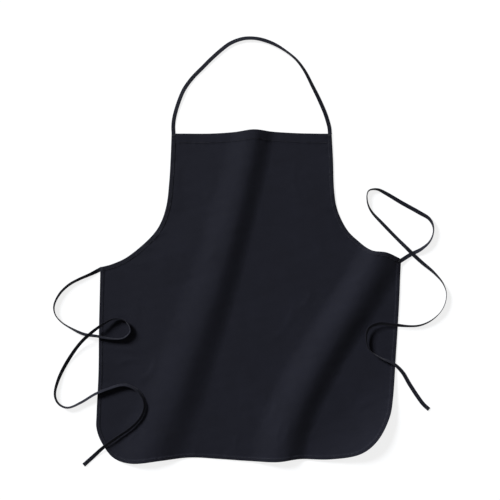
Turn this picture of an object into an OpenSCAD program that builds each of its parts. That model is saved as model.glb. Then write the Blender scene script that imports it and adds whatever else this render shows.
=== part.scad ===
// Bib apron lying face up on a flat surface.
// One cut panel of twill with turned hems. A narrow folded tape binds both armholes and runs on
// as the neck loop and the two waist ties. X is across the apron, Y runs from the skirt to the
// neck, Z is up from the surface. The origin is on the surface, under the middle of the panel.

/* [Cut panel] */
// Width of the panel across the skirt
panel_w = 640; // [600:1:680]
// Length of the panel from the lower edge to the bib edge
panel_l = 700; // [660:1:740]
// Thickness of one ply of the twill
ply = 0.6; // [0.4:0.05:0.8]

/* [Hems and tape] */
// Depth of the hem across the top of the bib
bib_hem_w = 20; // [15:1:30]
// Depth of the hem round the skirt
skirt_hem_w = 8; // [6:0.5:12]
// Width of the folded tape
tape_w = 8.5; // [7:0.5:10]
// Thickness of the folded tape
tape_t = 1.2; // [1:0.1:1.6]

/* [Stitching] */
// Diameter of the sewing thread
thread_d = 0.5; // [0.4:0.05:0.7]
// Distance from a seam's stitches to the edge of the hem or tape that they hold
stitch_inset = 1.2; // [1:0.1:2]
// Height of a bartack above the tape that it holds
bartack_h = 0.5; // [0.3:0.05:0.8]

/* [Folds in the cloth] */
// Height of the long fold that runs down from the middle of the bib
long_fold_h = 11; // [6:0.5:16]
// Height of the fold that runs down from the right waist corner
side_fold_h = 13; // [6:0.5:18]
// Height of the lifted lower right corner
corner_lift = 16.5; // [0:0.5:20]

/* [Hidden] */

twill = [0.11, 0.11, 0.14];
tape_black = [0.08, 0.08, 0.10];
thread_black = [0.16, 0.16, 0.19];

// The outline below is drawn at 640 by 700 and scaled to the width and length above.
kx = panel_w / 640;
ky = panel_l / 700;
function cut(points) = [for (p = points) [p[0] * kx, p[1] * ky]];

// Four edges, clockwise from the left corner of the bib. Each is a smooth curve through its points.
bib_edge = cut([[-162, 342], [-135, 342], [-80, 342], [-30, 345], [10, 350], [50, 346], [100, 343],
                [145, 342], [173, 342]]);
right_armhole = cut([[173, 342], [176, 285], [178, 225], [185, 182], [204, 142], [228, 117],
                     [256, 97], [288, 92], [319, 78]]);
skirt = cut([[319, 78], [317, 30], [314, -36], [308, -130], [302, -210], [293, -255], [268, -301],
             [230, -330], [170, -341], [104, -341], [55, -346], [0, -345], [-62, -341],
             [-122, -338], [-186, -344], [-246, -350], [-284, -339], [-308, -309], [-320, -278],
             [-320, -245], [-316, -160], [-315, -70], [-313, 20], [-312, 61]]);
left_armhole = cut([[-312, 61], [-286, 68], [-253, 84], [-211, 119], [-187, 150], [-173, 190],
                    [-167, 240], [-164, 290], [-162, 342]]);
EDGE_STEPS = 3;      // straight pieces between two points of an edge
RIGHT_SIDE_END = 4;  // the point of the skirt where the right side hem meets the bottom hem
LEFT_SIDE_START = 19;

// The routes of the three free tapes: x, y, the height of the tape's lowest side above the cloth
// or the surface, and its roll in degrees, where 0 is flat and 90 is on edge.
NECK_ROUTE = [
    [-158.5, 343.4, 0.3, 0], [-159, 358, 0, 0], [-157, 375, 0, 5], [-151, 398, 0, 8],
    [-141, 425, 0, 12], [-131, 443, 0, 6], [-116, 462, 0, 5], [-98, 480, 0, 8], [-78, 500, 0, 10],
    [-54, 521, 0, 12], [-36, 533, 0, 15], [-13, 541, 0, 20], [10, 542, 0, 25], [31, 538, 0, 20],
    [54, 529, 0, 30], [77, 515, 0, 48], [99, 497, 0, 48], [117, 473, 0, 40], [133, 442, 0, 28],
    [147, 414, 0, 15], [160, 384, 0, 8], [168, 358, 0, 0], [169.7, 343.4, 0.3, 0]
];
LEFT_TIE_ROUTE = [
    [-311.1, 57.6, 0.3, 0], [-332, 47, 0, 40], [-355, 37, 0, 52], [-377, 25, 0, 56],
    [-396, 7, 0, 64], [-408, -16, 0, 76], [-407, -36, 0, 88], [-394, -53, 0, 86],
    [-372, -67, 0, 72], [-346, -79, 0, 50], [-318, -83, 2.2, 56], [-290, -88, 2, 72],
    [-264, -87, 2, 76], [-249, -72, 2, 72], [-257, -53, 2.2, 74], [-280, -46, 3.4, 74],
    [-306, -58, 7, 58], [-335, -80, 8.8, 40], [-358, -103, 3.6, 40], [-382, -138, 0, 34],
    [-399, -172, 0, 46], [-407, -204, 0, 66], [-399, -225, 0, 74], [-379, -233, 0, 70],
    [-352, -222, 0, 58], [-322, -204, 2.2, 56], [-292, -192, 2.2, 58], [-262, -185, 2, 60],
    [-235, -196, 2, 55], [-219, -220, 2, 52], [-223, -247, 2.2, 50], [-244, -272, 2.6, 48],
    [-275, -294, 3, 44], [-305, -316, 2.4, 30], [-327, -336, 0.2, 10], [-347, -354, 0, 0]
];
RIGHT_TIE_ROUTE = [
    [317.6, 74.8, 0.3, 0], [339, 88, 0, 12], [362, 100, 0, 46], [380, 117, 0, 74],
    [387, 140, 0, 84], [379, 162, 0, 48], [356, 177, 0, 16], [320, 197, 0, 16], [288, 216, 0, 36],
    [268, 225, 0, 62], [250, 221, 0, 76], [248, 200, 0, 70], [257, 178, 0, 54], [280, 153, 0, 34],
    [310, 122, 1, 30], [339, 93, 3.8, 18], [362, 72, 1, 22], [388, 50, 0, 48], [407, 27, 0, 70],
    [414, 2, 0, 80], [406, -26, 0, 82], [385, -48, 0, 72], [360, -60, 0, 62], [334, -62, 1, 56],
    [304, -59, 4, 36], [274, -56, 6, 34], [252, -65, 6, 46], [245, -86, 5, 66], [252, -111, 3, 80],
    [277, -129, 2, 72], [302, -140, 2.1, 46], [322, -159, 0.2, 20], [337, -184, 0, 4],
    [354, -210, 0, 0], [366, -226, 0, 0], [378, -237, 0, 0]
];
TAPE_STEPS = 2; // rings between two points of a route

// ---- curves ----

function spline(a, b, c, d, t) =
    (2 * b + (c - a) * t + (2 * a - 5 * b + 4 * c - d) * t * t + (3 * b - a - 3 * c + d) * t * t * t) / 2;
function smooth(p, steps) = [
    for (i = [0:len(p) - 2]) for (s = [0:steps - 1])
        spline(p[max(i - 1, 0)], p[i], p[i + 1], p[min(i + 2, len(p) - 1)], s / steps),
    p[len(p) - 1]
];
function part_of(p, from, to) = [for (i = [from:to]) p[i]];
function reversed(p) = [for (i = [len(p) - 1:-1:0]) p[i]];
function unit(v) = v / norm(v);
// The way into the cloth at point i of a clockwise edge.
function inward(p, i) =
    let (d = unit(p[min(i + 1, len(p) - 1)] - p[max(i - 1, 0)])) [d[1], -d[0]];
function inset(p, depth) = [for (i = [0:len(p) - 1]) p[i] + inward(p, i) * depth];

bib_line = smooth(bib_edge, EDGE_STEPS);
right_armhole_line = smooth(right_armhole, EDGE_STEPS);
skirt_line = smooth(skirt, EDGE_STEPS);
left_armhole_line = smooth(left_armhole, EDGE_STEPS);
outline = concat(
    part_of(bib_line, 0, len(bib_line) - 2),
    part_of(right_armhole_line, 0, len(right_armhole_line) - 2),
    part_of(skirt_line, 0, len(skirt_line) - 2),
    part_of(left_armhole_line, 0, len(left_armhole_line) - 2)
);

// ---- how the cloth lies: its height above the surface at each place ----

function step(v, from, to) = let (t = max(0, min(1, (v - from) / (to - from)))) t * t * (3 - 2 * t);
function bell(s, w) = abs(s) >= w ? 0 : (1 + cos(180 * s / w)) / 2;
function fold(s, left_w, right_w) = bell(s, s < 0 ? left_w : right_w);
// Each fold falls away to the right. To the left, part of it is narrow and part of it is wide.
function long_fold(x, y) =
    let (
        t = (345 - y) / 690,
        crest = 12 - 136 * t - 88 * t * t,
        to_left_edge = max(crest + 145 + 150 * step(-y, -200, -60), 50),
        fall = 46 + 36 * t * t
    )
    long_fold_h * (0.62 * fold(x - crest, min(56 + 34 * t, to_left_edge), fall)
        + 0.38 * fold(x - crest, to_left_edge, fall));
function side_fold(x, y) =
    let (
        u = (78 - y) / 423,
        crest = 275 - 215 * u - 135 * u * u + 145 * u * u * u,
        fall = 65 - 12 * u
    )
    side_fold_h * (1 - step(y, 92, 118)) * (0.88 * fold(x - crest, 64 + 10 * step(u, 0, 0.4), fall)
        + 0.12 * fold(x - crest, 170, fall));
// The lifted corner falls away just past the cloth's edge, so that the tie's end lies flat there.
function lifted_corner(x, y) =
    let (lift = max(x - y - 425, 0) / 145) corner_lift * lift * lift * (1 - step(x, 300, 332));
function lay(x, y) = long_fold(x, y) + side_fold(x, y) + lifted_corner(x, y);

// The lay is drawn on a grid, and everything sewn to the cloth follows that same grid.
GRID_X = 14;
GRID_Y = 28;
GRID_LEFT = -350;
GRID_LOW = -392;
GRID_COLUMNS = 50;
GRID_ROWS = 28;
heights = [
    for (j = [0:GRID_ROWS]) [for (i = [0:GRID_COLUMNS]) lay(GRID_LEFT + i * GRID_X, GRID_LOW + j * GRID_Y)]
];
function grid_lay(x, y) =
    let (u = (x - GRID_LEFT) / GRID_X, v = (y - GRID_LOW) / GRID_Y)
    u < 0 || u >= GRID_COLUMNS || v < 0 || v >= GRID_ROWS ? 0 :
    let (i = floor(u), j = floor(v), a = u - i, b = v - j,
         low = heights[j][i], high = heights[j + 1][i + 1])
    a > b ? low + a * (heights[j][i + 1] - low) + b * (high - heights[j][i + 1])
          : low + b * (heights[j + 1][i] - low) + a * (high - heights[j + 1][i]);

// A sheet over the grid cells that a shape touches, from one height above the lay to another.
module sheet(shape, from, to) {
    across = [for (p = shape) p[0]];
    along = [for (p = shape) p[1]];
    left = floor((min(across) - GRID_LEFT) / GRID_X);
    low = floor((min(along) - GRID_LOW) / GRID_Y);
    columns = ceil((max(across) - GRID_LEFT) / GRID_X) - left;
    rows = ceil((max(along) - GRID_LOW) / GRID_Y) - low;
    wide = columns + 1;
    count = wide * (rows + 1);
    points = [for (h = [from, to]) for (j = [low:low + rows]) for (i = [left:left + columns])
        [GRID_LEFT + i * GRID_X, GRID_LOW + j * GRID_Y, heights[j][i] + h]];
    function at(i, j, layer) = layer * count + j * wide + i;
    cells = [for (j = [0:rows - 1]) for (i = [0:columns - 1]) [i, j]];
    rim = concat(
        [for (i = [0:columns]) [i, 0]],
        [for (j = [1:rows]) [columns, j]],
        [for (i = [columns - 1:-1:0]) [i, rows]],
        [for (j = [rows - 1:-1:1]) [0, j]]
    );
    faces = concat(
        [for (c = cells) [at(c[0], c[1], 0), at(c[0] + 1, c[1], 0), at(c[0] + 1, c[1] + 1, 0)]],
        [for (c = cells) [at(c[0], c[1], 0), at(c[0] + 1, c[1] + 1, 0), at(c[0], c[1] + 1, 0)]],
        [for (c = cells) [at(c[0], c[1], 1), at(c[0] + 1, c[1] + 1, 1), at(c[0] + 1, c[1], 1)]],
        [for (c = cells) [at(c[0], c[1], 1), at(c[0], c[1] + 1, 1), at(c[0] + 1, c[1] + 1, 1)]],
        [for (k = [0:len(rim) - 1]) let (a = rim[k], b = rim[(k + 1) % len(rim)])
            [at(a[0], a[1], 0), at(a[0], a[1], 1), at(b[0], b[1], 1), at(b[0], b[1], 0)]]
    );
    polyhedron(points, faces, convexity = 8);
}

// A closed piece of cloth: the part of a sheet that is over the flat children. The shape says
// which cells of the grid they reach.
SHEET_TOP = 60; // higher than any fold
module cloth(shape, from, to) {
    intersection() {
        sheet(shape, from, to);
        linear_extrude(2 * SHEET_TOP, center = true) children();
    }
}

// The flat shape of a band along an edge, from one depth to another inside it. It runs along
// the whole edge, or from one of its points to another.
function band(p, from, to, first = 0, last = undef) =
    let (end = is_undef(last) ? len(p) - 1 : last)
    concat(part_of(inset(p, from), first, end), reversed(part_of(inset(p, to), first, end)));

// ---- tubes and tapes ----

// Joins rings of points into one closed solid with flat ends.
module skin(rings) {
    sides = len(rings[0]);
    last = (len(rings) - 1) * sides;
    faces = concat(
        [[for (k = [0:sides - 1]) k]],
        [for (r = [0:len(rings) - 2]) for (k = [0:sides - 1])
            [r * sides + k, (r + 1) * sides + k, (r + 1) * sides + (k + 1) % sides]],
        [for (r = [0:len(rings) - 2]) for (k = [0:sides - 1])
            [r * sides + k, (r + 1) * sides + (k + 1) % sides, r * sides + (k + 1) % sides]],
        [[for (k = [sides - 1:-1:0]) last + k]]
    );
    polyhedron([for (ring = rings) for (p = ring) p], faces, convexity = 10);
}

// The outline of a folded tape with soft edges, across its width and through its thickness.
TAPE_EDGE = [[1, 0.4], [0.85, 1], [-0.85, 1], [-1, 0.4], [-1, -0.4], [-0.85, -1], [0.85, -1], [1, -0.4]];
function tape_rise(roll) = (tape_w * abs(sin(roll)) + tape_t * abs(cos(roll))) / 2;
function tape_centre(q) = [q[0] * kx, q[1] * ky, q[2] + grid_lay(q[0] * kx, q[1] * ky) + tape_rise(q[3])];
function tape_ring(route, i) =
    let (
        q = route[i],
        along = unit(tape_centre(route[min(i + 1, len(route) - 1)]) - tape_centre(route[max(i - 1, 0)])),
        side = unit([along[1], -along[0], 0]),
        up = cross(side, along),
        across = side * cos(q[3]) + up * sin(q[3]),
        through = cross(across, along)
    )
    [for (e = TAPE_EDGE)
        tape_centre(q) + across * (e[0] * tape_w / 2) + through * (e[1] * tape_t / 2)];
module tape(route) {
    line = smooth(route, TAPE_STEPS);
    skin([for (i = [0:len(line) - 1]) tape_ring(line, i)]);
}

// A row of stitches along a line, as one thread that lies on the cloth.
THREAD_SIDES = 6;
module thread(line, height) {
    skin([
        for (i = [0:len(line) - 1])
            let (n = inward(line, i), z = grid_lay(line[i][0], line[i][1]) + height + thread_d / 2)
            [for (k = [0:THREAD_SIDES - 1])
                let (a = 360 * k / THREAD_SIDES, r = thread_d / 2)
                [line[i][0] - n[0] * r * cos(a), line[i][1] - n[1] * r * cos(a), z + r * sin(a)]]
    ]);
}

// A bartack: a short dense bar of stitches on a tape.
module bartack(x, y, turn, height, length, width) {
    translate([x * kx, y * ky, grid_lay(x * kx, y * ky) + height])
        rotate([0, 0, turn])
        translate([-length / 2, -width / 2, 0])
        cube([length, width, bartack_h]);
}

// ---- sub-parts ----

bib_band = band(bib_line, 0, bib_hem_w);
right_side_end = RIGHT_SIDE_END * EDGE_STEPS;
left_side_start = LEFT_SIDE_START * EDGE_STEPS;
right_side_band = band(skirt_line, 0, skirt_hem_w, 0, right_side_end);
bottom_band = band(skirt_line, 0, skirt_hem_w, right_side_end, left_side_start);
left_side_band = band(skirt_line, 0, skirt_hem_w, left_side_start);

// The strips of the flat cut that the two bindings cover, carried a little past the edge.
PAST_EDGE = 2;
module bound_strips() {
    polygon(band(left_armhole_line, -PAST_EDGE, tape_w));
    polygon(band(right_armhole_line, -PAST_EDGE, tape_w));
}

// One ply of cloth inside the hems, which carries on to the armholes between the tape's plies.
module body_panel() color(twill) cloth(outline, ply, 2 * ply) difference() {
    polygon(outline);
    difference() {
        union() {
            polygon(band(bib_line, -PAST_EDGE, bib_hem_w));
            polygon(band(skirt_line, -PAST_EDGE, skirt_hem_w));
        }
        bound_strips();
    }
}
// A hem is the edge of the panel turned twice, three plies thick, up to the bindings.
module hem(shape) color(twill) cloth(shape, 0, 3 * ply) difference() {
    polygon(shape);
    bound_strips();
}
// A binding is the tape folded over the armhole's edge: a ply above, a ply below and the fold.
module binding(line) color(tape_black) {
    over = band(line, -ply, tape_w);
    cloth(over, 2 * ply, 3 * ply) polygon(over);
    cloth(over, ply, 2 * ply) polygon(band(line, -ply, 0));
    cloth(over, 0, ply) polygon(over);
}
module neck_loop() color(tape_black) tape(NECK_ROUTE);
module left_waist_tie() color(tape_black) tape(LEFT_TIE_ROUTE);
module right_waist_tie() color(tape_black) tape(RIGHT_TIE_ROUTE);

BARTACK_W = 2.4;
module neck_bartack(x) color(thread_black) bartack(x, 339, 0, 3 * ply, tape_w - 1, BARTACK_W);
module waist_bartack(x, y, turn) color(thread_black) bartack(x, y, turn, 3 * ply, tape_w - 1, BARTACK_W);
module tie_end_tack(x, y, turn) color(thread_black) bartack(x, y, turn, tape_t, tape_w - 1, BARTACK_W / 2);

// A hem's thread starts and ends clear of the bindings, a few points in from the edge's ends.
module hem_stitching(line, depth, skipped) color(thread_black)
    thread(inset(part_of(line, skipped, len(line) - 1 - skipped), depth - stitch_inset), 3 * ply);
module binding_stitching(line) color(thread_black)
    thread(inset(line, tape_w - stitch_inset), 3 * ply);

body_panel();
hem(bib_band);  // bib_hem
hem(left_side_band);  // left_side_hem
hem(right_side_band);  // right_side_hem
hem(bottom_band);  // bottom_hem
binding(left_armhole_line);  // left_armhole_binding
binding(right_armhole_line);  // right_armhole_binding
neck_loop();
left_waist_tie();
right_waist_tie();
neck_bartack(-158.6);  // left_neck_bartack
neck_bartack(169.5);  // right_neck_bartack
waist_bartack(-308, 58.5, 105);  // left_waist_bartack
waist_bartack(315, 76, 68);  // right_waist_bartack
tie_end_tack(-344, -351.5, 130);  // left_tie_end_tack
tie_end_tack(374.5, -234, 40);  // right_tie_end_tack
hem_stitching(bib_line, bib_hem_w, 2);  // bib_hem_stitching
hem_stitching(skirt_line, skirt_hem_w, 1);  // skirt_hem_stitching
binding_stitching(left_armhole_line);  // left_binding_stitching
binding_stitching(right_armhole_line);  // right_binding_stitching
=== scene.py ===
"""A plain near-black bib apron of cotton twill, laid face up on a pale floor.

The cloth's height above the floor is one function of the place, and every layer, seam and stitch
follows it. Everything is in metres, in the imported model's own frame.
"""

import math
import random

import bmesh
import bpy
import numpy as np
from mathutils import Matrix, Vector
from mathutils.geometry import delaunay_2d_cdt


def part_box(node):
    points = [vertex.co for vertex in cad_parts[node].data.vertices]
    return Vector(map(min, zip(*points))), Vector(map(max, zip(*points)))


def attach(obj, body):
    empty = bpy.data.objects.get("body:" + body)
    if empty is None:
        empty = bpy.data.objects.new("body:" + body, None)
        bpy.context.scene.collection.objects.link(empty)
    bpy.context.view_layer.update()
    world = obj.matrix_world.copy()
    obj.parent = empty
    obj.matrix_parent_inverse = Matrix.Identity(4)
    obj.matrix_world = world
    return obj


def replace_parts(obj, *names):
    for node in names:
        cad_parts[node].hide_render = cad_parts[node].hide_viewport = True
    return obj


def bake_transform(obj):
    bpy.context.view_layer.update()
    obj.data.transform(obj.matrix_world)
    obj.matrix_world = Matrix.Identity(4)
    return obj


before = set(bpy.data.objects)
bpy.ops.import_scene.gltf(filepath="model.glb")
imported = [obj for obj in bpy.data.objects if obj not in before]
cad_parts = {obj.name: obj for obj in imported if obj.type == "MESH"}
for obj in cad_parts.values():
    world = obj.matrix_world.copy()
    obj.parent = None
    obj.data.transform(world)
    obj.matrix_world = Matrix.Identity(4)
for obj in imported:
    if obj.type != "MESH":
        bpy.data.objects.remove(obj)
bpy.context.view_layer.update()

# ---- sizes ----

MM = 0.001
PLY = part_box("left_side_hem")[1].z / 3  # the side hem is three plies thick and lies flat
BIB_HEM = 20 * MM
SKIRT_HEM = 8 * MM
TAPE_W = 8.5 * MM
TAPE_T = 1.2 * MM
THREAD_R = 0.2 * MM
STITCH = 2.4 * MM
STITCH_PITCH = 3 * MM
STITCH_INSET = 1.2 * MM  # from a seam to the edge of the hem or tape that it holds
LONG_FOLD = 11 * MM  # the heights of the two folds and of the lifted corner
SIDE_FOLD = 13 * MM
CORNER_LIFT = 16.5 * MM
BIB_HEM_LOWEST = 0.3  # the bib's hem is above this y, and the skirt's hem is below the other
SKIRT_HEM_HIGHEST = 0.1
FLOOR_FROM = 0.36  # beyond this y the neck loop lies on the floor

# The panel's four edges, clockwise from the left corner of the bib.
BIB_EDGE = [(-0.162, 0.342), (-0.135, 0.342), (-0.08, 0.342), (-0.03, 0.345), (0.01, 0.35),
            (0.05, 0.346), (0.1, 0.343), (0.145, 0.342), (0.173, 0.342)]
RIGHT_ARMHOLE = [(0.173, 0.342), (0.176, 0.285), (0.178, 0.225), (0.185, 0.182), (0.204, 0.142),
                 (0.228, 0.117), (0.256, 0.097), (0.288, 0.092), (0.319, 0.078)]
SKIRT = [(0.319, 0.078), (0.317, 0.03), (0.314, -0.036), (0.308, -0.13), (0.302, -0.21),
         (0.293, -0.255), (0.268, -0.301), (0.23, -0.33), (0.17, -0.341), (0.104, -0.341),
         (0.055, -0.346), (0, -0.345), (-0.062, -0.341), (-0.122, -0.338), (-0.186, -0.344),
         (-0.246, -0.35), (-0.284, -0.339), (-0.308, -0.309), (-0.32, -0.278), (-0.32, -0.245),
         (-0.316, -0.16), (-0.315, -0.07), (-0.313, 0.02), (-0.312, 0.061)]
LEFT_ARMHOLE = [(-0.312, 0.061), (-0.286, 0.068), (-0.253, 0.084), (-0.211, 0.119),
                (-0.187, 0.15), (-0.173, 0.19), (-0.167, 0.24), (-0.164, 0.29), (-0.162, 0.342)]
RIGHT_SIDE_END = (0.302, -0.21)  # where the side hems meet the bottom hem
LEFT_SIDE_START = (-0.32, -0.245)

# The routes of the three free tapes: x, y, the height of the tape's lowest side above the cloth
# or the floor in millimetres, and its roll in degrees, where 0 is flat and 90 is on edge.
NECK_ROUTE = [
    (-0.1585, 0.3434, 0.3, 0), (-0.159, 0.358, 0, 0), (-0.157, 0.375, 0, 5),
    (-0.151, 0.398, 0, 8), (-0.141, 0.425, 0, 12), (-0.131, 0.443, 0, 6), (-0.116, 0.462, 0, 5),
    (-0.098, 0.48, 0, 8), (-0.078, 0.5, 0, 10), (-0.054, 0.521, 0, 12), (-0.036, 0.533, 0, 15),
    (-0.013, 0.541, 0, 20), (0.01, 0.542, 0, 25), (0.031, 0.538, 0, 20), (0.054, 0.529, 0, 30),
    (0.077, 0.515, 0, 48), (0.099, 0.497, 0, 48), (0.117, 0.473, 0, 40), (0.133, 0.442, 0, 28),
    (0.147, 0.414, 0, 15), (0.16, 0.384, 0, 8), (0.168, 0.358, 0, 0), (0.1697, 0.3434, 0.3, 0),
]
LEFT_TIE_ROUTE = [
    (-0.3111, 0.0576, 0.3, 0), (-0.332, 0.047, 0, 40), (-0.355, 0.037, 0, 52),
    (-0.377, 0.025, 0, 56), (-0.396, 0.007, 0, 64), (-0.408, -0.016, 0, 76),
    (-0.407, -0.036, 0, 88), (-0.394, -0.053, 0, 86), (-0.372, -0.067, 0, 72),
    (-0.346, -0.079, 0, 50), (-0.318, -0.083, 2.2, 56), (-0.29, -0.088, 2, 72),
    (-0.264, -0.087, 2, 76), (-0.249, -0.072, 2, 72), (-0.257, -0.053, 2.2, 74),
    (-0.28, -0.046, 3.4, 74), (-0.306, -0.058, 7, 58), (-0.335, -0.08, 8.8, 40),
    (-0.358, -0.103, 3.6, 40), (-0.382, -0.138, 0, 34), (-0.399, -0.172, 0, 46),
    (-0.407, -0.204, 0, 66), (-0.399, -0.225, 0, 74), (-0.379, -0.233, 0, 70),
    (-0.352, -0.222, 0, 58), (-0.322, -0.204, 2.2, 56), (-0.292, -0.192, 2.2, 58),
    (-0.262, -0.185, 2, 60), (-0.235, -0.196, 2, 55), (-0.219, -0.22, 2, 52),
    (-0.223, -0.247, 2.2, 50), (-0.244, -0.272, 2.6, 48), (-0.275, -0.294, 3, 44),
    (-0.305, -0.316, 2.4, 30), (-0.327, -0.336, 0.2, 10), (-0.347, -0.354, 0, 0),
]
RIGHT_TIE_ROUTE = [
    (0.3176, 0.0748, 0.3, 0), (0.339, 0.088, 0, 12), (0.362, 0.1, 0, 46), (0.38, 0.117, 0, 74),
    (0.387, 0.14, 0, 84), (0.379, 0.162, 0, 48), (0.356, 0.177, 0, 16), (0.32, 0.197, 0, 16),
    (0.288, 0.216, 0, 36), (0.268, 0.225, 0, 62), (0.25, 0.221, 0, 76), (0.248, 0.2, 0, 70),
    (0.257, 0.178, 0, 54), (0.28, 0.153, 0, 34), (0.31, 0.122, 1, 30), (0.339, 0.093, 3.8, 18),
    (0.362, 0.072, 1, 22), (0.388, 0.05, 0, 48), (0.407, 0.027, 0, 70), (0.414, 0.002, 0, 80),
    (0.406, -0.026, 0, 82), (0.385, -0.048, 0, 72), (0.36, -0.06, 0, 62), (0.334, -0.062, 1, 56),
    (0.304, -0.059, 4, 36), (0.274, -0.056, 6, 34), (0.252, -0.065, 6, 46),
    (0.245, -0.086, 5, 66), (0.252, -0.111, 3, 80), (0.277, -0.129, 2, 72),
    (0.302, -0.14, 2.1, 46), (0.322, -0.159, 0.2, 20), (0.337, -0.184, 0, 4),
    (0.354, -0.21, 0, 0), (0.366, -0.226, 0, 0), (0.378, -0.237, 0, 0),
]

# ---- lines ----


def resampled(line, spacing):
    """The line with even steps of about the spacing, measured along its x and y."""
    along = np.concatenate([[0], np.cumsum(np.linalg.norm(np.diff(line[:, :2], axis=0), axis=1))])
    at = np.linspace(0, along[-1], max(2, round(along[-1] / spacing) + 1))
    return np.stack([np.interp(at, along, line[:, k]) for k in range(line.shape[1])], axis=1)


def smooth_line(points, spacing):
    """An even line along a Catmull-Rom curve through the points."""
    p = np.array(points, float)
    p = np.vstack([p[:1], p, p[-1:]])
    t = np.linspace(0, 1, 24, endpoint=False)[:, None]
    pieces = [
        (2 * b + (c - a) * t + (2 * a - 5 * b + 4 * c - d) * t**2 + (3 * b - a - 3 * c + d) * t**3) / 2
        for a, b, c, d in zip(p, p[1:], p[2:], p[3:])
    ]
    return resampled(np.vstack([*pieces, p[-1:]]), spacing)


def directions(line):
    """The unit direction of a line at each of its points."""
    d = np.gradient(line, axis=0)
    return d / np.linalg.norm(d, axis=1)[:, None]


def inward(line):
    """The way into the cloth at each point of a clockwise edge."""
    d = directions(line)
    return np.stack([d[:, 1], -d[:, 0]], axis=1)


def inset(line, depth):
    """An edge's line moved into the cloth."""
    return line + inward(line) * depth


LINE_STEP = 1 * MM
EDGES = {
    name: smooth_line(points, LINE_STEP)
    for name, points in [("bib", BIB_EDGE), ("right_armhole", RIGHT_ARMHOLE), ("skirt", SKIRT),
                         ("left_armhole", LEFT_ARMHOLE)]
}


def depth_and_place(name, xy, batch=1000):
    """How deep each place is inside an edge, and how far along the edge it is."""
    line = EDGES[name]
    normals = inward(line)
    depth, place = np.empty(len(xy)), np.empty(len(xy))
    for i in range(0, len(xy), batch):
        part = xy[i:i + batch]
        away = part[:, None, :] - line[None, :, :]
        nearest = np.argmin((away**2).sum(2), axis=1)
        rows = np.arange(len(part))
        depth[i:i + batch] = (away[rows, nearest] * normals[nearest]).sum(1)
        place[i:i + batch] = nearest * LINE_STEP
    return depth, place


# ---- how the cloth lies ----


def step(v, start, end):
    """0 before the start and 1 after the end, smooth between."""
    t = np.clip((v - start) / (end - start), 0, 1)
    return t * t * (3 - 2 * t)


def bell(s, half_width):
    """1 at the middle and 0 from the half width on, smooth between."""
    return np.where(np.abs(s) < half_width, (1 + np.cos(np.pi * s / half_width)) / 2, 0)


def fold(s, left, right):
    """A bell with its own half width on each side."""
    return np.where(s < 0, bell(s, left), bell(s, right))


def lay(x, y):
    """The height of the cloth's underside: two long folds and the lifted corner.

    t runs from 0 at the bib's edge to 1 at the skirt's, and u from 0 at the waist corner. Each
    fold is a narrow crest on a wider, lower one.
    """
    t = (0.345 - y) / 0.69
    u = (0.078 - y) / 0.423
    crest = 0.012 - 0.136 * t - 0.088 * t * t
    to_left_edge = np.maximum(crest + 0.145 + 0.15 * step(-y, -0.2, -0.06), 0.05)
    fall = 0.046 + 0.036 * t * t
    long_fold = LONG_FOLD * (
        0.62 * fold(x - crest, np.minimum(0.056 + 0.034 * t, to_left_edge), fall)
        + 0.38 * fold(x - crest, to_left_edge, fall))
    from_crest = x - (0.275 - 0.215 * u - 0.135 * u * u + 0.145 * u**3)
    fall = 0.065 - 0.012 * u
    side_fold = SIDE_FOLD * (1 - step(y, 0.092, 0.118)) * (
        0.88 * fold(from_crest, 0.064 + 0.01 * step(u, 0, 0.4), fall)
        + 0.12 * fold(from_crest, 0.17, fall))
    lift = np.maximum(x - y - 0.425, 0) / 0.145
    corner = CORNER_LIFT * lift * lift * (1 - step(x, 0.3, 0.332))
    return long_fold + side_fold + corner


def waves(seed, length, count=9):
    """A random patch of low waves of about one length, the same each time."""
    dice = random.Random(seed)
    made = []
    for _ in range(count):
        angle = dice.uniform(0, math.pi)
        k = 2 * math.pi / (length * dice.uniform(0.7, 1.5))
        made.append((k * math.cos(angle), k * math.sin(angle), dice.uniform(0, 2 * math.pi)))
    return made


def ripple(x, y, patch):
    """The height of a patch of waves at each place, mostly within 1 of zero."""
    return sum(np.sin(a * x + b * y + c) for a, b, c in patch) / math.sqrt(len(patch))


BROAD_WAVES = waves(3, 0.11)
SMALL_WAVES = waves(5, 0.034)
SEAM_WAVES = waves(8, 0.013, 5)
BROAD_WAVE = 0.7 * MM
SMALL_WAVE = 0.11 * MM
PUCKER = 0.22 * MM
PUCKER_REACH = 6 * MM
SETTLE = 0.35 * MM  # the cloth is lowered by this, so that its lowest parts touch the floor

# The creases that show: both ends in metres, and the height and half width of each in mm.
CREASES = [
    (-0.208, 0.108, -0.165, 0.143, 0.9, 8), (-0.226, 0.096, -0.190, 0.100, 0.8, 8),
    (-0.256, 0.074, -0.205, 0.052, 0.7, 9), (0.110, 0.020, 0.028, -0.116, 0.45, 12),
    (0.142, 0.034, 0.080, -0.048, 0.5, 12), (0.064, -0.172, 0.018, -0.300, 0.55, 12),
    (0.092, -0.232, 0.046, -0.336, 0.55, 11), (-0.306, -0.112, -0.215, -0.126, 0.6, 8),
    (-0.300, -0.152, -0.204, -0.136, 0.7, 9), (-0.186, -0.100, -0.240, -0.196, 0.7, 11),
    (0.256, 0.066, 0.200, 0.026, 0.6, 10), (0.192, 0.145, 0.176, 0.255, 0.5, 11),
    (-0.152, 0.225, -0.124, 0.305, 0.4, 11), (0.112, 0.185, 0.098, 0.295, 0.45, 13),
    (0.205, -0.255, 0.292, -0.212, 0.6, 11), (-0.060, 0.124, -0.116, 0.052, 0.4, 12),
    (0.060, -0.330, 0.074, -0.250, 0.5, 7), (-0.030, -0.336, -0.010, -0.270, 0.4, 7),
    (0.130, -0.334, 0.150, -0.262, 0.5, 8), (-0.250, -0.330, -0.232, -0.270, 0.4, 8),
]


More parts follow.
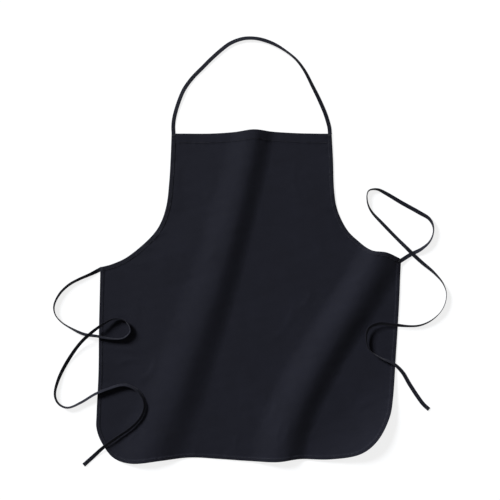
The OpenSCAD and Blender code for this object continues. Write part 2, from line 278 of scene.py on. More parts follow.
def faint_creases(seed, count):
    """Low short creases all over, mostly along the folds, the same each time."""
    dice = random.Random(seed)
    made = []
    for _ in range(count):
        x, y = dice.uniform(-0.3, 0.3), dice.uniform(-0.33, 0.33)
        angle = dice.gauss(math.radians(65), 0.7)
        half = dice.uniform(0.012, 0.045)
        dx, dy = half * math.cos(angle), half * math.sin(angle)
        made.append((x - dx, y - dy, x + dx, y + dy, dice.uniform(0.08, 0.24), dice.uniform(6, 10)))
    return made


CREASES += faint_creases(21, 90)


def crease(x, y, x0, y0, x1, y1, height, half_width):
    """A low bowed ridge from one place to the other, steeper on one side."""
    along = np.array([x1 - x0, y1 - y0])
    length = np.linalg.norm(along)
    along = along / length
    t = np.clip(((x - x0) * along[0] + (y - y0) * along[1]) / length, 0, 1)
    bow = 0.07 * length * np.sin(np.pi * t) - 0.02 * length * np.sin(3 * np.pi * t)
    s = (x - x0) * along[1] - (y - y0) * along[0] + bow
    ends = np.sin(np.pi * t) ** 2
    return height * MM * ends * fold(s, 1.3 * half_width * MM, 0.7 * half_width * MM)


def cloth_base(x, y):
    """The height of the underside of the hems at each place: the folds, creases and ripples."""
    xy = np.stack([x, y], axis=1)
    z = lay(x, y)
    z = z + BROAD_WAVE * (1 + ripple(x, y, BROAD_WAVES) / 2) + SMALL_WAVE * ripple(x, y, SMALL_WAVES)
    for c in CREASES:
        z = z + crease(x, y, *c)
    for name, width in [("skirt", SKIRT_HEM), ("bib", BIB_HEM), ("left_armhole", TAPE_W),
                        ("right_armhole", TAPE_W)]:
        depth, place = depth_and_place(name, xy)
        beside = np.exp(-(((depth - width) / PUCKER_REACH) ** 2))
        z = z + PUCKER * (beside * ripple(place, 0 * place, SEAM_WAVES))
    return np.maximum(z - SETTLE, 0)


# ---- meshes ----


def add_mesh(name, verts, faces, materials, uv, face_materials=None):
    """A smooth mesh object. uv holds a place on the cloth for each vertex, in metres."""
    mesh = bpy.data.meshes.new(name)
    mesh.from_pydata([tuple(v) for v in verts], [], [tuple(int(i) for i in f) for f in faces])
    solid = bmesh.new()
    solid.from_mesh(mesh)
    bmesh.ops.recalc_face_normals(solid, faces=solid.faces)
    solid.to_mesh(mesh)
    solid.free()
    for material in materials:
        mesh.materials.append(material)
    if face_materials is not None:
        mesh.polygons.foreach_set("material_index", np.array(face_materials, np.int32))
    mesh.polygons.foreach_set("use_smooth", [True] * len(mesh.polygons))
    corner = np.empty(len(mesh.loops), np.int32)
    mesh.loops.foreach_get("vertex_index", corner)
    layer = mesh.uv_layers.new(name="cloth")
    layer.data.foreach_set("uv", np.array(uv, np.float32)[corner].ravel())
    mesh.update()
    obj = bpy.data.objects.new(name, mesh)
    bpy.context.scene.collection.objects.link(obj)
    return obj


def tube_faces(rings, sides, first=0):
    """The faces of a closed solid with a ring of points at each station."""
    faces = [
        (first + r * sides + k, first + r * sides + (k + 1) % sides,
         first + (r + 1) * sides + (k + 1) % sides, first + (r + 1) * sides + k)
        for r in range(rings - 1) for k in range(sides)
    ]
    last = first + (rings - 1) * sides
    faces.append(tuple(first + k for k in range(sides - 1, -1, -1)))
    faces.append(tuple(last + k for k in range(sides)))
    return faces


def swept_along_edge(line, section):
    """A closed band: the section's (depth, height above the base) at each point of an edge."""
    normals = inward(line)
    section = np.array(section)
    xy = line[:, None, :] + normals[:, None, :] * section[None, :, :1]
    flat = xy.reshape(-1, 2)
    z = cloth_base(flat[:, 0], flat[:, 1]) + np.tile(section[:, 1], len(line))
    return np.column_stack([flat, z]), tube_faces(len(line), len(section))


STITCH_SIDES = 5
# Each ring of a stitch: its place along it, and its height and radius as shares of the thread's.
STITCH_RINGS = [(-0.5, -0.6, 0.7), (-0.3, 0.35, 1), (0.3, 0.35, 1), (0.5, -0.6, 0.7)]


def stitch_row(centres, along, up):
    """A row of stitches: each rises out of the cloth and dips back into it at its ends."""
    side = np.cross(along, up)
    verts, faces = [], []
    for i, (c, a, s, n) in enumerate(zip(centres, along, side, up)):
        for t, rise, r in STITCH_RINGS:
            for k in range(STITCH_SIDES):
                turn = 2 * math.pi * k / STITCH_SIDES
                verts.append(c + a * (t * STITCH)
                             + n * (THREAD_R * (rise + r * math.sin(turn)))
                             - s * (THREAD_R * r * math.cos(turn)))
        faces += tube_faces(len(STITCH_RINGS), STITCH_SIDES, i * len(STITCH_RINGS) * STITCH_SIDES)
    return np.array(verts), faces


def seam(line, height, face_up=True):
    """A row of stitches on the cloth along a flat line, at a height above the base."""
    at = resampled(line, STITCH_PITCH)
    z = cloth_base(at[:, 0], at[:, 1]) + height
    centres = np.column_stack([at, z])
    up = np.tile([0.0, 0.0, 1.0 if face_up else -1.0], (len(at), 1))
    return stitch_row(centres, directions(centres), up)


def joined(*parts):
    """Several (points, faces) as one."""
    verts, faces, count = [], [], 0
    for v, f in parts:
        verts.append(v)
        faces += [tuple(count + i for i in face) for face in f]
        count += len(v)
    return np.vstack(verts), faces


# ---- materials ----


def new_material(name, roughness, specular, sheen):
    """A material with its node tree's parts at hand."""
    material = bpy.data.materials.new(name)
    material.use_nodes = True
    nodes, links = material.node_tree.nodes, material.node_tree.links
    shader = nodes["Principled BSDF"]
    shader.inputs["Roughness"].default_value = roughness
    shader.inputs["Specular IOR Level"].default_value = specular
    shader.inputs["Sheen Weight"].default_value = sheen
    shader.inputs["Sheen Roughness"].default_value = 0.45
    return material, nodes, links, shader


def wave_scale(period):
    """The scale of a Wave texture whose bands are this far apart, in metres."""
    return math.pi / (10 * period)


def mixed(nodes, links, kind, a, b, factor=1.0):
    """A colour mix node. a, b and factor are sockets or values."""
    mix = nodes.new("ShaderNodeMix")
    mix.data_type = "RGBA"
    mix.blend_type = kind
    for socket, value in [(mix.inputs[0], factor), (mix.inputs[6], a), (mix.inputs[7], b)]:
        if isinstance(value, bpy.types.NodeSocket):
            links.new(value, socket)
        else:
            socket.default_value = value
    return mix.outputs[2]


def ranged(nodes, links, value, low, high, out_low, out_high):
    """A socket's value moved from one range to another, and held within it."""
    node = nodes.new("ShaderNodeMapRange")
    links.new(value, node.inputs[0])
    for socket, number in zip(node.inputs[1:5], (low, high, out_low, out_high)):
        socket.default_value = number
    return node.outputs[0]


TWILL_TURN = math.radians(62)
BUMP_HEIGHT = 0.14 * MM
LINT_SPACING = 0.014
LINT = (0.16, 0.16, 0.17, 1)


def woven(name, colour, pitch, roughness):
    """Twill: diagonal ribs crossed by yarns, with uneven dye, fine fuzz and a little lint."""
    material, nodes, links, shader = new_material(name, roughness, 0.15, 0.05)
    place = nodes.new("ShaderNodeUVMap").outputs[0]

    def bands(period, turn, distortion):
        spin = nodes.new("ShaderNodeMapping")
        spin.inputs["Rotation"].default_value = (0, 0, turn)
        links.new(place, spin.inputs["Vector"])
        wave = nodes.new("ShaderNodeTexWave")
        wave.inputs["Scale"].default_value = wave_scale(period)
        wave.inputs["Distortion"].default_value = distortion
        wave.inputs["Detail"].default_value = 2
        wave.inputs["Detail Scale"].default_value = 3
        links.new(spin.outputs[0], wave.inputs["Vector"])
        return wave.outputs["Fac"]

    def noise(size, detail=3):
        node = nodes.new("ShaderNodeTexNoise")
        node.inputs["Scale"].default_value = 1 / size
        node.inputs["Detail"].default_value = detail
        links.new(place, node.inputs["Vector"])
        return node.outputs["Fac"]

    ribs = bands(pitch, TWILL_TURN, 0.6)
    yarns = bands(pitch * 0.7, 0, 0.4)
    weave = mixed(nodes, links, "MULTIPLY", ribs, yarns, 0.6)
    fuzz = noise(pitch * 0.6)
    height = mixed(nodes, links, "MIX", weave, fuzz, 0.35)
    bump = nodes.new("ShaderNodeBump")
    bump.inputs["Strength"].default_value = 0.8
    bump.inputs["Distance"].default_value = BUMP_HEIGHT
    links.new(height, bump.inputs["Height"])
    links.new(bump.outputs[0], shader.inputs["Normal"])

    # Dye and wear: broad patches and finer mottling. Painted shade and highlight: darker between the
    # yarns, lighter on their tops.
    tint = ranged(nodes, links, noise(0.06, 4), 0.3, 0.7, 0.92, 1.08)
    mottle = ranged(nodes, links, noise(0.004), 0.3, 0.7, 0.95, 1.05)
    # painted shade between the yarns and painted highlight on their tops, taken from the weave's height
    weave_shade_and_highlight = ranged(nodes, links, weave, 0, 1, 0.72, 1.2)
    shade = mixed(nodes, links, "MULTIPLY", tint, mottle)
    shade = mixed(nodes, links, "MULTIPLY", shade, weave_shade_and_highlight)
    dyed_and_shaded = mixed(nodes, links, "MULTIPLY", (*colour, 1), shade)

    specks = nodes.new("ShaderNodeTexVoronoi")
    specks.inputs["Scale"].default_value = 1 / LINT_SPACING
    links.new(place, specks.inputs["Vector"])
    lint = ranged(nodes, links, specks.outputs["Distance"], 0.012, 0.03, 0.3, 0)
    links.new(mixed(nodes, links, "MIX", dyed_and_shaded, LINT, lint), shader.inputs["Base Color"])
    uneven = ranged(nodes, links, noise(0.012), 0.3, 0.7, roughness - 0.025, roughness + 0.025)
    links.new(uneven, shader.inputs["Roughness"])
    return material


def sewing_thread():
    """Polyester thread: a fine twist with a slight shine, and painted shade and highlight along the
    twist, darker in its grooves and lighter on its ridges.
    """
    material, nodes, links, shader = new_material("sewing_thread", 0.5, 0.35, 0.1)
    where = nodes.new("ShaderNodeTexCoord").outputs["Object"]
    twist = nodes.new("ShaderNodeTexWave")
    twist.inputs["Scale"].default_value = wave_scale(0.25 * MM)
    links.new(where, twist.inputs["Vector"])
    # painted shade and painted highlight: the twist's grooves dark, its ridges light
    dark, light = (0.008, 0.008, 0.011, 1), (0.02, 0.02, 0.026, 1)
    dyed_and_shaded = mixed(nodes, links, "MIX", dark, light, twist.outputs["Fac"])
    links.new(dyed_and_shaded, shader.inputs["Base Color"])
    bump = nodes.new("ShaderNodeBump")
    bump.inputs["Distance"].default_value = 0.05 * MM
    links.new(twist.outputs["Fac"], bump.inputs["Height"])
    links.new(bump.outputs[0], shader.inputs["Normal"])
    return material


TWILL = woven("apron_twill", (0.0074, 0.0076, 0.0134), 0.62 * MM, 0.8)
TAPE = woven("folded_tape", (0.0076, 0.0078, 0.0135), 0.5 * MM, 0.78)
THREAD = sewing_thread()

# ---- camera ----

VIEW_WIDTH = 1.05  # the width of floor that the camera sees
VIEW_CENTRE = 2.1 * MM, 97.65 * MM
LENS, SENSOR = 85, 36
camera_data = bpy.data.cameras.new("camera")
camera_data.lens = LENS
camera_data.sensor_width = SENSOR
camera = bpy.data.objects.new("camera", camera_data)
camera.location = (*VIEW_CENTRE, VIEW_WIDTH * LENS / SENSOR)
bpy.context.scene.collection.objects.link(camera)
bpy.context.scene.camera = camera

# ---- the free tapes ----

# A tape folded along its middle: a round fold on one side, two plies and a stitched edge on the
# other. Across and through, as shares of half its width and half its thickness.
TAPE_SECTION = [
    (1, 0), (0.97, 0.5), (0.87, 0.88), (0.6, 1), (0, 1), (-0.5, 0.98), (-0.68, 0.86), (-0.86, 0.95),
    (-0.98, 0.6), (-0.95, 0.06), (-0.95, -0.06), (-0.98, -0.6), (-0.86, -0.95), (-0.68, -0.86),
    (-0.5, -0.98), (0, -1), (0.6, -1), (0.87, -0.88), (0.97, -0.5),
]
TAPE_SEAM, SEAM_HEIGHT = -0.68, 0.86  # the groove that the stitches lie in, as the same shares
RING_STEP = 3 * MM
FINE_STEP = 0.5 * MM
FOLD_RINGS = 3  # a tape that folds over is finer over this many rings at each end


def under_tape(x, y):
    """The height of what a tape lies on: the cloth, or the floor beside it."""
    xy = np.stack([x, y], axis=1)
    depth = np.min([depth_and_place(name, xy)[0] for name in EDGES], axis=0)
    on_cloth = step(depth, -6 * MM, 2 * MM)
    return np.where(y < FLOOR_FROM, lay(x, y) + (cloth_base(x, y) - lay(x, y)) * on_cloth, 0)


def tape_frame(route, spacing):
    """Centres, and the across, through and forward directions, along a route."""
    line = smooth_line(route, spacing)
    x, y, roll = line[:, 0], line[:, 1], np.radians(line[:, 3])
    rise = (TAPE_W * np.abs(np.sin(roll)) + TAPE_T * np.abs(np.cos(roll))) / 2
    z = line[:, 2] * MM + under_tape(x, y) + rise
    centres = np.column_stack([x, y, z])
    forward = directions(centres)
    side = np.column_stack([forward[:, 1], -forward[:, 0], 0 * x])
    side /= np.linalg.norm(side, axis=1)[:, None]
    up = np.cross(side, forward)
    across = side * np.cos(roll)[:, None] + up * np.sin(roll)[:, None]
    through = np.cross(across, forward)
    return centres, across, through, forward


def tape_seam(frames):
    """The stitches in the grooves on both faces of a tape."""
    at, across, through, forward = frames
    rows = []
    for face in (1, -1):
        seam_line = (at + across * (TAPE_SEAM * TAPE_W / 2)
                     + through * (face * (SEAM_HEIGHT * TAPE_T / 2 + THREAD_R * 0.3)))
        rows.append(stitch_row(seam_line, forward, through * face))
    return rows


def finer_ends(frames, route):
    """A tape's frames with fine rings in place of the coarse ones at both ends."""
    n = round(FOLD_RINGS * RING_STEP / FINE_STEP)
    fine = tape_frame(route, FINE_STEP)
    return [np.vstack([f[:n], v[FOLD_RINGS:-FOLD_RINGS], f[-n:]]) for v, f in zip(frames, fine)]


def tape(name, route, folds=False):
    """A free tape with its edge seam. A held end reaches just inside its binding.

    A tape that folds over is held at both ends. It has fine rings there, and no stitches.
    """
    frames = tape_frame(route, RING_STEP)
    sewn = slice(FOLD_RINGS, -FOLD_RINGS) if folds else slice(0, -1)
    rows = tape_seam([v[sewn] for v in frames])
    if folds:
        frames = finer_ends(frames, route)
    centres, across, through, forward = frames
    centres = np.vstack([centres[:1] - forward[:1] * RING_STEP, centres])
    across, through = (np.vstack([v[:1], v]) for v in (across, through))
    if folds:
        centres = np.vstack([centres, centres[-1:] + forward[-1:] * RING_STEP])
        across, through = (np.vstack([v, v[-1:]]) for v in (across, through))
    section = np.array(TAPE_SECTION) * (TAPE_W / 2, TAPE_T / 2)
    verts = (centres[:, None, :] + across[:, None, :] * section[None, :, :1]
             + through[:, None, :] * section[None, :, 1:]).reshape(-1, 3)
    faces = tube_faces(len(centres), len(section))
    count = len(faces)
    all_verts, all_faces = joined((verts, faces), *rows)
    along = np.concatenate([[0], np.cumsum(np.linalg.norm(np.diff(centres, axis=0), axis=1))])
    uv = np.column_stack([np.repeat(along, len(section)), np.tile(section[:, 0], len(along))])
    uv = np.vstack([uv, np.zeros((len(all_verts) - len(verts), 2))])
    obj = add_mesh(name, all_verts, all_faces, [TAPE, THREAD], uv,
                   [0] * count + [1] * (len(all_faces) - count))
    return obj, centres


neck_loop, neck_path = tape("neck_loop_tape", NECK_ROUTE, folds=True)
left_tie, left_path = tape("left_waist_tie_tape", LEFT_TIE_ROUTE)
right_tie, right_path = tape("right_waist_tie_tape", RIGHT_TIE_ROUTE)

# ---- the panel ----

RIM = 1.5  # the radius of a hem's outer fold, in plies
OUTLINE_STEP = 3 * MM
GRID = 4.2 * MM
GRID_FROM, GRID_TO = (-0.33, -0.36), (0.33, 0.36)
# How deep inside each edge the panel has a line of points, in mm. They are close at the step in
# height where a hem or a tape ends.
SKIRT_LINES = (2.5, 4.5, 6.2, 6.8, 7.4, 8, 8.6, 10.5)
BIB_LINES = (3, 7, 11, 15, 18, 18.8, 19.4, 20, 20.6, 23)
ARMHOLE_LINES = (2.5, 5, 7.4, 8, 8.6, 9.2, 11)
NEAR_EDGE = 60 * MM
LINES_CLEAR, GRID_CLEAR = 0.9 * MM, 3 * MM  # how far the lines' points and the grid's stay from the rim
LINES_GAP, GRID_GAP = 1 * MM, 2.4 * MM  # and from the points that are already there


def outline_loop():
    """The panel's outline as a closed loop, its inward directions, and how bound each point is."""
    names = "bib", "right_armhole", "skirt", "left_armhole"
    parts = [resampled(EDGES[name], OUTLINE_STEP)[:-1] for name in names]
    bound = np.concatenate([np.full(len(p), float(i % 2)) for i, p in enumerate(parts)])
    loop = np.vstack(parts)
    ahead, behind = np.roll(loop, -1, axis=0) - loop, loop - np.roll(loop, 1, axis=0)
    ahead /= np.linalg.norm(ahead, axis=1)[:, None]
    behind /= np.linalg.norm(behind, axis=1)[:, None]
    along = ahead + behind
    along /= np.linalg.norm(along, axis=1)[:, None]
    normals = np.column_stack([along[:, 1], -along[:, 0]])
    miter = 1 / np.maximum((along * ahead).sum(1), 0.5)
    return loop, normals * miter[:, None], bound


def inner_points():
    """Places inside the panel: lines along each seam and a grid everywhere else."""
    lines = []
    for name, depths in [("skirt", SKIRT_LINES), ("bib", BIB_LINES), ("left_armhole", ARMHOLE_LINES),
                         ("right_armhole", ARMHOLE_LINES)]:
        line = resampled(EDGES[name], OUTLINE_STEP)
        for d in depths:
            points = inset(line, d * MM)
            # A point is kept if it is well inside each edge that it is near.
            keep = np.ones(len(points), bool)
            for other in EDGES:
                depth, _ = depth_and_place(other, points)
                near = np.min([np.linalg.norm(points - e, axis=1) for e in EDGES[other][::20]], axis=0)
                keep &= (depth > (d - 0.2 if other == name else 2) * MM) | (near > NEAR_EDGE)
            lines.append(points[keep])
    seams = np.vstack(lines)
    xs, ys = (np.arange(low, high, GRID) for low, high in zip(GRID_FROM, GRID_TO))
    grid = np.array([(x + (GRID / 2 if j % 2 else 0), y) for j, y in enumerate(ys) for x in xs])
    return seams, grid


def inside_outline(points, loop, clearance):
    """Which points are inside a loop and at least the clearance from it."""
    x, y = points[:, 0], points[:, 1]
    odd = np.zeros(len(points), bool)
    near = np.full(len(points), np.inf)
    for (x0, y0), (x1, y1) in zip(loop, np.roll(loop, -1, axis=0)):
        crosses = ((y0 > y) != (y1 > y)) & (x < (x1 - x0) * (y - y0) / (y1 - y0 + 1e-12) + x0)
        odd ^= crosses
        near = np.minimum(near, (x - x0) ** 2 + (y - y0) ** 2)
    return odd & (near > clearance**2)


def spaced_out(points, taken, gap):
    """The points that are at least the gap from the ones that are taken."""
    cells = {}
    for p in taken:
        cells.setdefault((int(p[0] // gap), int(p[1] // gap)), []).append(p)
    kept = []
    for p in points:
        i, j = int(p[0] // gap), int(p[1] // gap)
        around = [(a, b) for a in (i - 1, i, i + 1) for b in (j - 1, j, j + 1)]
        close = (q for cell in around for q in cells.get(cell, ()))
        if all((p[0] - q[0]) ** 2 + (p[1] - q[1]) ** 2 >= gap * gap for q in close):
            kept.append(p)
    return np.array(kept)


def hem_share(xy):
    """1 where the panel lies on a hem, 0 where it is one ply, smooth between."""
    skirt, _ = depth_and_place("skirt", xy)
    bib, _ = depth_and_place("bib", xy)
    left, _ = depth_and_place("left_armhole", xy)
    right, _ = depth_and_place("right_armhole", xy)
    ease = 0.6 * MM
    on_skirt = 1 - step(skirt, SKIRT_HEM - ease, SKIRT_HEM + ease)
    on_bib = 1 - step(bib, BIB_HEM - 2 * MM, BIB_HEM + 2 * MM)
    on_bib = on_bib * step(xy[:, 1], BIB_HEM_LOWEST, BIB_HEM_LOWEST + 1 * MM)
    on_skirt = on_skirt * (1 - step(xy[:, 1], SKIRT_HEM_HIGHEST, SKIRT_HEM_HIGHEST + 1 * MM))
    clear_of_tape = TAPE_W - 0.4 * MM, TAPE_W + ease
    return np.maximum(on_skirt, on_bib) * (step(left, *clear_of_tape) * step(right, *clear_of_tape))


def body_panel():
    """The panel as a closed sheet: its two faces and the edge round them."""
    loop, normals, bound = outline_loop()
    rim_loop = loop + normals * (RIM * PLY)
    seams, grid = inner_points()
    seams = seams[inside_outline(seams, rim_loop, LINES_CLEAR)]
    grid = grid[inside_outline(grid, rim_loop, GRID_CLEAR)]
    inner = spaced_out(grid, seams, GRID_GAP)
    seams = spaced_out(seams, [], LINES_GAP)
    points = [Vector(p) for p in np.vstack([rim_loop, seams, inner])]
    ring = list(range(len(rim_loop)))[::-1]
    found, _, triangles, source, _, _ = delaunay_2d_cdt(points, [], [ring], 1, 1e-7)
    xy = np.array([tuple(p) for p in found])
    rim_index = {origin: i for i, origins in enumerate(source) for origin in origins
                 if origin < len(loop)}
    rim = [rim_index[i] for i in range(len(loop))]

    base = cloth_base(xy[:, 0], xy[:, 1])
    share = hem_share(xy)
    share[rim] = 1 - bound
    top = base + PLY * (2 + share)
    count = len(xy)
    verts = np.vstack([np.column_stack([xy, top]), np.column_stack([xy, top - PLY])])
    faces = [tuple(t) for t in triangles] + [tuple(count + i for i in t[::-1]) for t in triangles]

    # The edge: round the hem's outer fold where it is hemmed, and plain where it is bound.
    turn = np.radians(np.arange(25, 181, 26))
    quarter = np.radians(np.arange(0, 181, 45))
    hemmed = [(RIM - RIM * np.sin(a), RIM + RIM * np.cos(a)) for a in turn]
    hemmed += [(RIM - 0.5 * np.sin(a), RIM - 0.5 * np.cos(a)) for a in quarter[:-1]]
    plain = [(1.25 - 0.5 * np.sin(a), 1.5 + 0.5 * np.cos(a)) for a in turn]
    plain += [(1.3 + 0.04 * k, 1) for k in range(4)]
    edge_base = cloth_base(loop[:, 0], loop[:, 1])
    rings = [np.array(rim)]
    for (u0, z0), (u1, z1) in zip(hemmed, plain):
        u = u0 + (u1 - u0) * bound
        z = z0 + (z1 - z0) * bound
        at = loop + normals * (u * PLY)[:, None]
        rings.append(np.arange(len(loop)) + len(verts))
        verts = np.vstack([verts, np.column_stack([at, edge_base + z * PLY])])
    rings.append(np.array(rim) + count)
    for a, b in zip(rings, rings[1:]):
        faces += [(a[i], a[i - 1], b[i - 1], b[i]) for i in range(len(loop))]
    obj = add_mesh("body_panel_cloth", verts, faces, [TWILL], verts[:, :2])
    return obj


panel = body_panel()

# ---- hems, bindings and their seams ----


def nearest_to(line, place):
    """The index of a line's point that is nearest a place."""
    return int(np.argmin(np.linalg.norm(line - np.array(place), axis=1)))


def hem(name, line, depth):
    """The part of a hem behind the panel: two plies turned under, with a soft inner fold."""
    top, side = 1.95 * PLY, depth - 0.25 * MM
    across = np.arange(RIM * PLY + 2 * MM, side - 1 * MM, 3 * MM)
    section = [(RIM * PLY + 0.05 * MM, 0.03 * PLY), *[(u, 0) for u in across], (side, 0.1 * PLY),
               (depth, 0.9 * PLY), (side, top - 0.12 * PLY), *[(u, top) for u in across[::-1]],
               (RIM * PLY + 0.05 * MM, top)]
    verts, faces = swept_along_edge(line, section)
    obj = add_mesh(name, verts, faces, [TWILL], verts[:, :2])
    return obj


def trimmed(line, ends):
    """A line made shorter at both ends."""
    return line[round(ends / LINE_STEP):len(line) - round(ends / LINE_STEP)]


skirt_line = EDGES["skirt"]
right_end = nearest_to(skirt_line, RIGHT_SIDE_END)
left_start = nearest_to(skirt_line, LEFT_SIDE_START)
CLEAR = TAPE_W + 0.4 * MM  # the bib's hem and both threads stop where the bindings begin
SIDE_HEM_CLEAR = 8  # so do the side hems, in points of the line
hem_lines = {
    "bib_hem": (trimmed(EDGES["bib"], CLEAR), BIB_HEM),
    "right_side_hem": (skirt_line[SIDE_HEM_CLEAR:right_end + 1], SKIRT_HEM),
    "bottom_hem": (skirt_line[right_end:left_start + 1], SKIRT_HEM),
    "left_side_hem": (skirt_line[left_start:-SIDE_HEM_CLEAR], SKIRT_HEM),
}
hems = {
    name: hem(f"{name}_cloth", resampled(line, OUTLINE_STEP), depth)
    for name, (line, depth) in hem_lines.items()
}


def binding(name, line):
    """Tape folded over an armhole's edge, over the panel and under it."""
    w, t = TAPE_W, PLY
    over = [(w, 2.5 * t), (w - 0.2 * MM, 2.9 * t), (w - 0.6 * MM, 3 * t), (0.55 * w, 3 * t),
            (0.3 * w, 3 * t), (0.5 * t, 3 * t)]
    turn = np.radians(np.arange(30, 180, 30))
    edge = [(0.5 * t - 1.5 * t * math.sin(a), 1.5 * t + 1.5 * t * math.cos(a)) for a in turn]
    under = [(u, 3 * t - z) for u, z in over[::-1]]
    inside = [(w - 0.2 * MM, 0.95 * t), (0.3 * w, 0.97 * t), (1.1 * t, 0.98 * t), (0.7 * t, 1.5 * t),
              (1.1 * t, 2.02 * t), (0.3 * w, 2.03 * t), (w - 0.2 * MM, 2.05 * t)]
    verts, faces = swept_along_edge(line, over + edge + under + inside)
    uv = np.column_stack([verts[:, 0] + verts[:, 1], verts[:, 0] - verts[:, 1]])
    obj = add_mesh(name, verts, faces, [TAPE], uv)
    return obj


BINDING_STEP = 2.5 * MM
bindings = {
    side: binding(f"{side}_armhole_binding_tape", resampled(EDGES[f"{side}_armhole"], BINDING_STEP))
    for side in ("left", "right")
}


def stitching(name, line, depth):
    """A seam near the inner side of a hem or tape, seen from both sides of the cloth."""
    line = inset(line, depth - STITCH_INSET)
    verts, faces = joined(seam(line, 3 * PLY), seam(line, 0, face_up=False))
    return add_mesh(name, verts, faces, [THREAD], verts[:, :2])


seams = {
    "bib_hem_stitching": stitching("bib_hem_thread", trimmed(EDGES["bib"], CLEAR), BIB_HEM),
    "skirt_hem_stitching": stitching("skirt_hem_thread", trimmed(skirt_line, CLEAR), SKIRT_HEM),
    "left_binding_stitching": stitching("left_binding_thread", EDGES["left_armhole"], TAPE_W),
    "right_binding_stitching": stitching("right_binding_thread", EDGES["right_armhole"], TAPE_W),
}

# ---- bartacks and tie ends ----

TACK_PITCH = 0.3 * MM
TACK_SIDES = 6
TACK_STEP = 1.1 * MM
TACK_LENGTH, TACK_WIDTH = TAPE_W - 1 * MM, 2.4 * MM


def zigzag(centre, turn, length, width):
    """A bar of close stitches: one thread that goes to and fro across the bar."""
    count = round(width / TACK_PITCH)
    along = np.array([math.cos(turn), math.sin(turn)])
    across = np.array([-along[1], along[0]])
    corners = []
    for i in range(count + 1):
        side = 0.5 if i % 2 else -0.5
        for share, rise in [(1, -0.5), (0.8, 1)] if i == 0 else [(0.8, 1), (1, -0.5), (1, -0.5)]:
            corners.append((side * share * length, (i / count - 0.5) * width, rise))
    line = []
    for a, b, rise in corners:
        xy = np.array(centre[:2]) + along * a + across * b
        line.append((*xy, centre[2] + rise * THREAD_R))
    line = resampled(np.array(line), TACK_STEP)
    forward = directions(line)
    side = np.column_stack([forward[:, 1], -forward[:, 0], 0 * forward[:, 0]])
    side /= np.linalg.norm(side, axis=1)[:, None]
    up = np.cross(side, forward)
    verts = [
        c + s * (THREAD_R * math.cos(a)) + u * (THREAD_R * math.sin(a))
        for c, s, u in zip(line, side, up)
        for a in (2 * math.pi * k / TACK_SIDES for k in range(TACK_SIDES))
    ]
    return np.array(verts), tube_faces(len(line), TACK_SIDES)


def bartack(name, node, turn):
    """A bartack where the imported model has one, on the tape under it."""
    low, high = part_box(node)
    x, y = (low.x + high.x) / 2, (low.y + high.y) / 2
    z = float(cloth_base(np.array([x]), np.array([y]))[0]) + 3 * PLY
    verts, faces = zigzag((x, y, z), math.radians(turn), TACK_LENGTH, TACK_WIDTH)
    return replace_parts(add_mesh(name, verts, faces, [THREAD], verts[:, :2]), node)


bartacks = [
    bartack("left_neck_bartack_thread", "left_neck_bartack", 0),
    bartack("right_neck_bartack_thread", "right_neck_bartack", 0),
    bartack("left_waist_bartack_thread", "left_waist_bartack", 105),
    bartack("right_waist_bartack_thread", "right_waist_bartack", 68),
]

END_FLAP = 9 * MM
FLAP_STEP = 1.5 * MM
FLAP_T = 0.55 * MM
END_ROWS = 1, 3  # the two rows of stitches, in steps from the tape's end
END_STITCH = 1.45 * MM  # each stitch's distance from the middle of the tape


def tie_end(name, route, node):
    """The end of a tie turned over once and sewn down with two rows across."""
    n = round(END_FLAP / FLAP_STEP)
    c, a, t, _ = (v[-n - 1:] for v in tape_frame(route, FLAP_STEP))
    half = TAPE_W / 2 - 0.15 * MM
    section = [(half, 0.1), (half - 0.3 * MM, 0.5), (0, 0.55), (0.3 * MM - half, 0.5), (-half, 0.1),
               (0.3 * MM - half, -0.05), (half - 0.3 * MM, -0.05)]
    flap = np.vstack([
        ci + ai * u + ti * (TAPE_T / 2 + z * MM)
        for ci, ai, ti in zip(c, a, t) for u, z in section
    ])
    flap_faces = tube_faces(len(c), len(section))
    rows = []
    for back in END_ROWS:
        ci, ai, ti = c[-1 - back], a[-1 - back], t[-1 - back]
        middles = np.array([ci + ai * (side * END_STITCH) + ti * (TAPE_T / 2 + FLAP_T)
                            for side in (-1, 1)])
        rows.append(stitch_row(middles, np.array([ai, ai]), np.array([ti, ti])))
    verts, faces = joined((flap, flap_faces), *rows)
    materials = [0] * len(flap_faces) + [1] * (len(faces) - len(flap_faces))
    obj = add_mesh(name, verts, faces, [TAPE, THREAD], verts[:, :2], materials)
    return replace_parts(obj, node)


left_end = tie_end("left_tie_end_flap", LEFT_TIE_ROUTE, "left_tie_end_tack")
right_end_flap = tie_end("right_tie_end_flap", RIGHT_TIE_ROUTE, "right_tie_end_tack")

# ---- what each piece stands for and moves with ----

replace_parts(panel, "body_panel")
for node, piece in {**hems, **seams}.items():
    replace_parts(piece, node)
for side, piece in bindings.items():
    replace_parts(piece, f"{side}_armhole_binding")
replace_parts(neck_loop, "neck_loop")
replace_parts(left_tie, "left_waist_tie")
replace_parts(right_tie, "right_waist_tie")

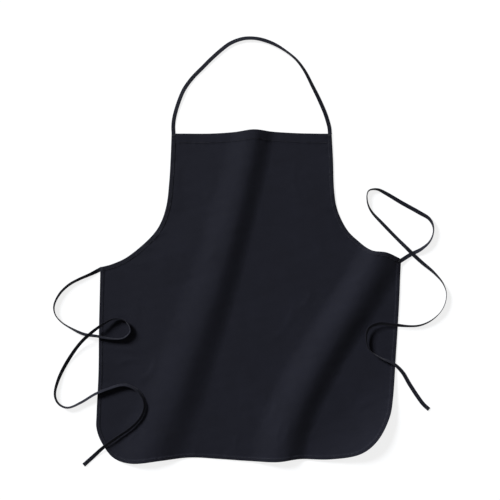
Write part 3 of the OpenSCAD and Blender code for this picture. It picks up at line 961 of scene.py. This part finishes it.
for piece in [panel, *hems.values(), *bindings.values(), *seams.values(), *bartacks, left_tie,
              right_tie, left_end, right_end_flap]:
    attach(piece, "apron")
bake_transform(neck_loop)


def loop_area(loop):
    """The area inside a closed line."""
    x, y = loop[:, 0], loop[:, 1]
    return abs(float((x * np.roll(y, -1) - y * np.roll(x, -1)).sum())) / 2


loop_area(outline_loop()[0])

# ---- floor and light ----


def floor():
    """The white surface. It gives off much of its light itself, so shadows on it stay faint."""
    half = 12
    mesh = bpy.data.meshes.new("floor")
    mesh.from_pydata([(-half, -half, 0), (half, -half, 0), (half, half, 0), (-half, half, 0)], [],
                     [(0, 1, 2, 3)])
    obj = bpy.data.objects.new("floor", mesh)
    obj.location.z = -0.2 * MM
    bpy.context.scene.collection.objects.link(obj)
    material, _, _, shader = new_material("floor_white", 0.9, 0.1, 0)
    shader.inputs["Base Color"].default_value = (0.22, 0.22, 0.22, 1)
    shader.inputs["Emission Color"].default_value = (1, 1, 1, 1)
    shader.inputs["Emission Strength"].default_value = 0.82
    mesh.materials.append(material)


def light():
    """A broad soft key from the upper left, and a dim sky that is white at the horizon."""
    key = bpy.data.lights.new("key", "SUN")
    key.energy = 5.8
    key.color = (0.96, 1, 1.07)
    key.angle = math.radians(16)
    obj = bpy.data.objects.new("key", key)
    shines_along = Vector((0.62, -0.5, -0.4))
    obj.rotation_euler = shines_along.to_track_quat("-Z", "Y").to_euler()
    bpy.context.scene.collection.objects.link(obj)
    world = bpy.data.worlds.new("surround")
    world.use_nodes = True
    nodes, links = world.node_tree.nodes, world.node_tree.links
    towards = nodes.new("ShaderNodeSeparateXYZ")
    links.new(nodes.new("ShaderNodeTexCoord").outputs["Generated"], towards.inputs[0])
    strength = ranged(nodes, links, towards.outputs["Z"], 0.06, 0.35, 1, 0.12)
    links.new(strength, nodes["Background"].inputs["Strength"])
    nodes["Background"].inputs["Color"].default_value = (1, 1, 1, 1)
    bpy.context.scene.world = world


floor()
light()
bpy.context.scene.view_settings.view_transform = "Standard"
